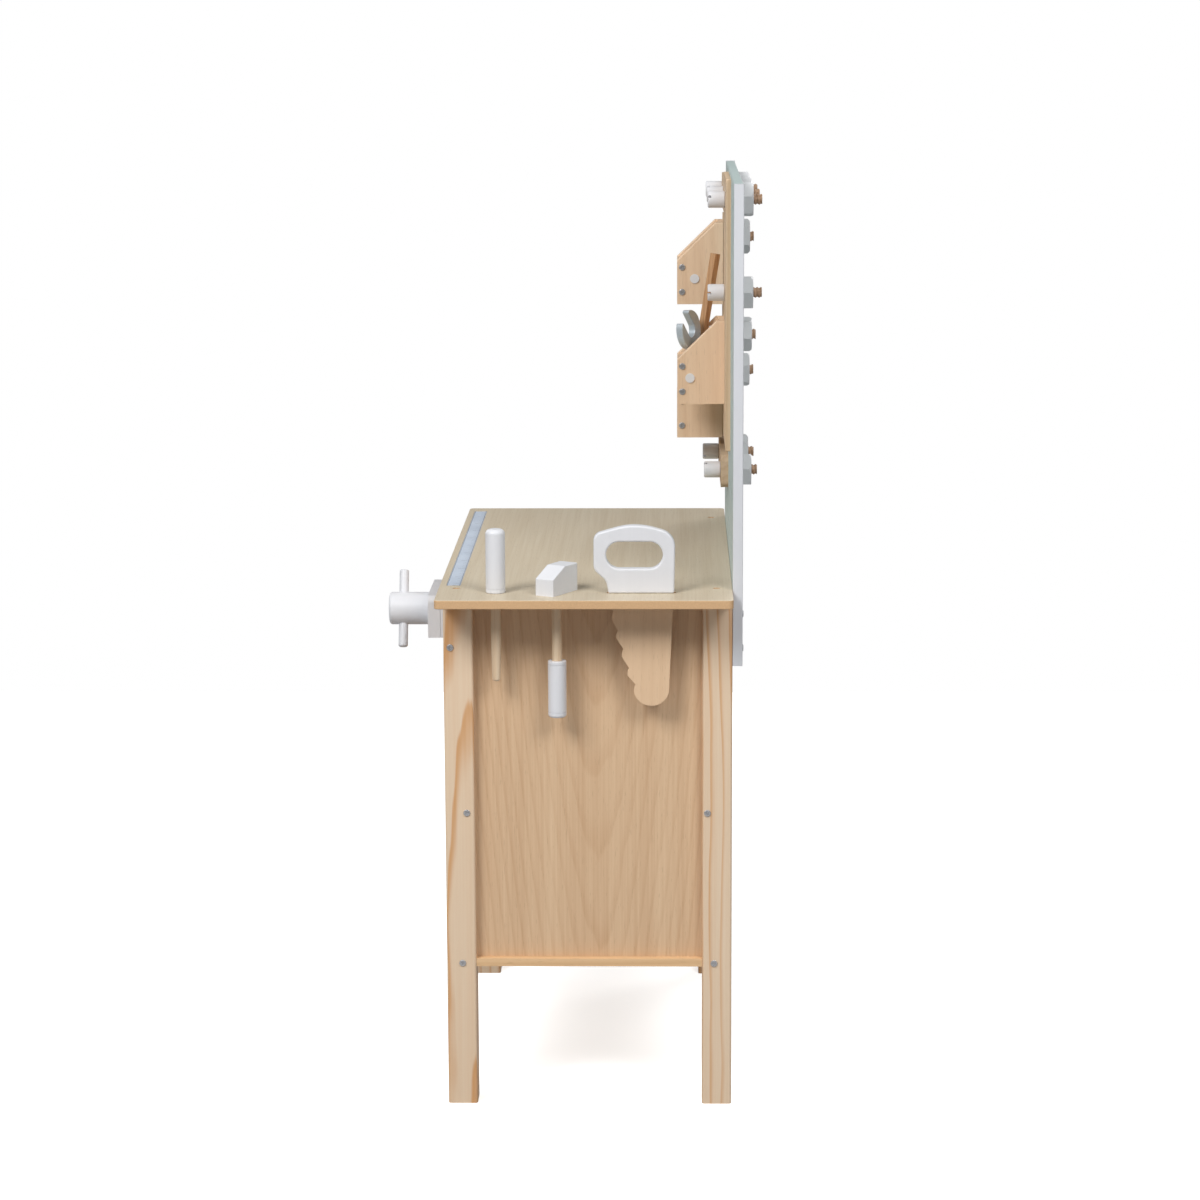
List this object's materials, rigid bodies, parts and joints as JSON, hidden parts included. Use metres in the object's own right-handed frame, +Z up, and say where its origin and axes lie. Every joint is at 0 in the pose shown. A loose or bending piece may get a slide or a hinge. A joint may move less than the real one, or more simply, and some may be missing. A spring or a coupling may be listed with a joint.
{
  "type": "toy workbench",
  "caption": "child's wooden workbench with cupboard shelves, a perforated back board holding tool boxes, toy bolts and nuts, a front vise and tools hanging in the worktop",
  "frame": {"origin": "on the floor, at the bottom centre of the whole bench's bounding box", "axes": "+Z up; +X along the worktop towards the end with the hanging tools; -Y towards the child and the vise, +Y out of the back board"},
  "size_m": [0.6, 0.3998, 0.941],
  "materials": {
    "beech_board": "satin",
    "beech_panel": "satin",
    "pine_leg": "satin",
    "steel_screw": "polished",
    "scale_paint": "satin",
    "sage_paint": "painted satin",
    "white_paint": "painted satin",
    "grey_paint": "painted satin",
    "plain_wood": "satin",
    "silver_paint": "painted silver"
  },
  "bodies": {
    "bench": {"tabletop": "beech_board", "shelf_low": "beech_board", "shelf_mid": "beech_board", "front_apron": "beech_board", "side_panel_right": "beech_panel", "side_panel_left": "beech_panel", "leg_front_right": "pine_leg", "leg_front_left": "pine_leg", "leg_back_right": "pine_leg", "leg_back_left": "pine_leg", "frame_screws": "steel_screw", "box_screws": "steel_screw", "peg_panel": "sage_paint", "board_post_right": "white_paint", "board_post_left": "white_paint", "vise_fixed_jaw": "white_paint", "bolts_held": "white_paint", "box_caps": "white_paint", "nuts_held": "grey_paint", "centre_plate": "plain_wood", "plank_low": "plain_wood", "plank_side": "plain_wood", "plank_top": "plain_wood", "box_a_end_near": "plain_wood", "box_a_end_far": "plain_wood", "box_a_front": "plain_wood", "box_a_back": "plain_wood", "box_a_floor": "plain_wood", "box_b_end_near": "plain_wood", "box_b_end_far": "plain_wood", "box_b_front": "plain_wood", "box_b_back": "plain_wood", "box_b_floor": "plain_wood", "box_c_end_near": "plain_wood", "box_c_end_far": "plain_wood", "box_c_front": "plain_wood", "box_c_back": "plain_wood", "box_c_floor": "plain_wood"},
    "vise_jaw": {"vise_jaw": "white_paint"},
    "vise_screw": {"vise_screw": "plain_wood", "vise_knob": "white_paint", "vise_bar": "white_paint"},
    "bolt_top_mid": {"bolt_top_mid": "white_paint"},
    "bolt_top_left": {"bolt_top_left": "white_paint"},
    "bolt_top_far": {"bolt_top_far": "white_paint"},
    "bolt_plate": {"bolt_plate": "white_paint"},
    "nut_top_mid": {"nut_top_mid": "grey_paint"},
    "nut_top_left": {"nut_top_left": "grey_paint"},
    "nut_top_far": {"nut_top_far": "grey_paint"},
    "nut_plate": {"nut_plate": "grey_paint"},
    "screwdriver": {"screwdriver_handle": "white_paint", "screwdriver_shaft": "plain_wood"},
    "hammer": {"hammer_head": "white_paint", "hammer_shaft": "plain_wood", "hammer_grip": "white_paint"},
    "saw": {"saw_handle": "white_paint", "saw_blade": "plain_wood"},
    "wrench": {"wrench": "silver_paint"},
    "stick": {"square_stick": "plain_wood"},
    "scale": {"scale_strip": "scale_paint"}
  },
  "joints": [
    {"name": "vise_jaw_slide", "type": "slide", "parent": "bench", "child": "vise_jaw", "axis": [0, -1, 0], "range_m": [0, 0.032]},
    {"name": "vise_screw_turn", "type": "hinge", "parent": "vise_jaw", "child": "vise_screw", "pos_m": [0, -0.1576, 0.474], "axis": [0, -1, 0], "range_deg": [0, 1440]},
    {"name": "bolt_top_mid_turn", "type": "hinge", "parent": "bench", "child": "bolt_top_mid", "pos_m": [0, 0.1674, 0.912], "axis": [0, -1, 0], "range_deg": [0, 720]},
    {"name": "nut_top_mid_travel", "type": "slide", "parent": "bench", "child": "nut_top_mid", "axis": [0, 1, 0], "range_m": [0, 0.008]},
    {"name": "bolt_top_left_turn", "type": "hinge", "parent": "bench", "child": "bolt_top_left", "pos_m": [-0.098, 0.1674, 0.912], "axis": [0, -1, 0], "range_deg": [0, 720]},
    {"name": "nut_top_left_travel", "type": "slide", "parent": "bench", "child": "nut_top_left", "axis": [0, 1, 0], "range_m": [0, 0.008]},
    {"name": "bolt_top_far_turn", "type": "hinge", "parent": "bench", "child": "bolt_top_far", "pos_m": [-0.196, 0.1674, 0.912], "axis": [0, -1, 0], "range_deg": [0, 720]},
    {"name": "nut_top_far_travel", "type": "slide", "parent": "bench", "child": "nut_top_far", "axis": [0, 1, 0], "range_m": [0, 0.008]},
    {"name": "bolt_plate_turn", "type": "hinge", "parent": "bench", "child": "bolt_plate", "pos_m": [0, 0.1674, 0.814], "axis": [0, -1, 0], "range_deg": [0, 720]},
    {"name": "nut_plate_travel", "type": "slide", "parent": "bench", "child": "nut_plate", "axis": [0, 1, 0], "range_m": [0, 0.008]},
    {"name": "screwdriver_lift", "type": "slide", "parent": "bench", "child": "screwdriver", "axis": [0, 0, 1], "range_m": [0, 0.1]},
    {"name": "hammer_lift", "type": "slide", "parent": "bench", "child": "hammer", "axis": [0, 0, 1], "range_m": [0, 0.14]},
    {"name": "saw_lift", "type": "slide", "parent": "bench", "child": "saw", "axis": [0, 0, 1], "range_m": [0, 0.125]},
    {"name": "wrench_lift", "type": "slide", "parent": "bench", "child": "wrench", "axis": [0, -0.1191, 0.9929], "range_m": [0, 0.1]},
    {"name": "stick_lift", "type": "slide", "parent": "bench", "child": "stick", "axis": [0, 0, 1], "range_m": [0, 0.18]},
    {"name": "scale_lift", "type": "slide", "parent": "bench", "child": "scale", "axis": [0, 0, 1], "range_m": [0, 0.02]}
  ],
  "couplings": [
    {"joint": "vise_jaw_slide", "follows": "vise_screw_turn", "m_per_rad": 0.0012732},
    {"joint": "nut_top_mid_travel", "follows": "bolt_top_mid_turn", "m_per_rad": 0.00063662},
    {"joint": "nut_top_left_travel", "follows": "bolt_top_left_turn", "m_per_rad": 0.00063662},
    {"joint": "nut_top_far_travel", "follows": "bolt_top_far_turn", "m_per_rad": 0.00063662},
    {"joint": "nut_plate_travel", "follows": "bolt_plate_turn", "m_per_rad": 0.00063662}
  ]
}
